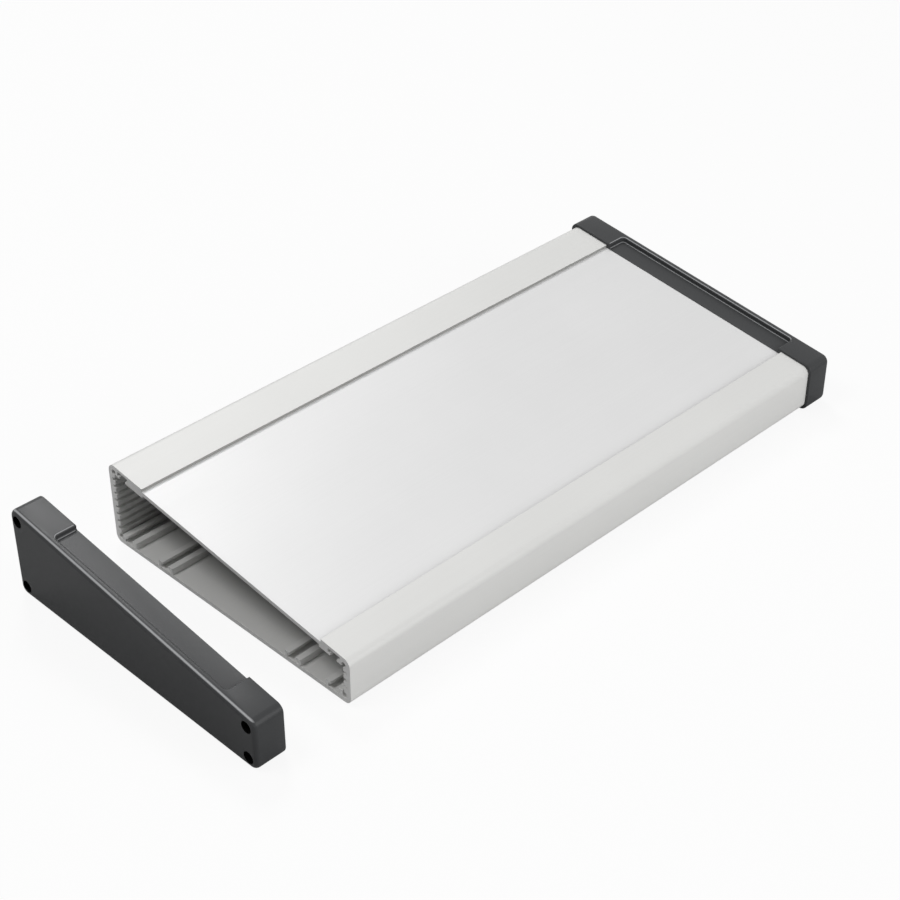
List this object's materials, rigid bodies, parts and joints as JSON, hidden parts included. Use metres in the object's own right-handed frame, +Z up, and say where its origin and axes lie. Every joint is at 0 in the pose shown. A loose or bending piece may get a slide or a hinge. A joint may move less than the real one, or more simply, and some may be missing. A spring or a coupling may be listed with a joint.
{
  "type": "sloping-top extruded aluminium desk enclosure",
  "caption": "Wedge-section extruded aluminium enclosure with a recessed top panel, board guide grooves, T-slots and screw-on end caps, shown with its near cap taken off.",
  "frame": {"origin": "on the surface that the end caps stand on, below the middle of the whole assembly as it stands with the near cap taken off", "axes": "+X along the extrusion from the loose cap to the fitted one, +Y from the low wall to the tall wall, +Z up"},
  "size_m": [0.3892, 0.1662, 0.0476],
  "materials": {
    "anodised_profile": "fine satin, clear anodised",
    "cap_plastic": "fine spark-eroded grain, graphite grey",
    "screw_steel": "zinc plated"
  },
  "bodies": {
    "enclosure": {"profile": "anodised_profile", "far_end_cap": "cap_plastic", "cap_screws": "screw_steel"},
    "loose_cap": {"near_end_cap": "cap_plastic"}
  },
  "joints": [
    {"name": "near_cap_slide", "type": "slide", "parent": "enclosure", "child": "loose_cap", "axis": [1, 0, 0], "range_m": [0, 0.0373]}
  ]
}
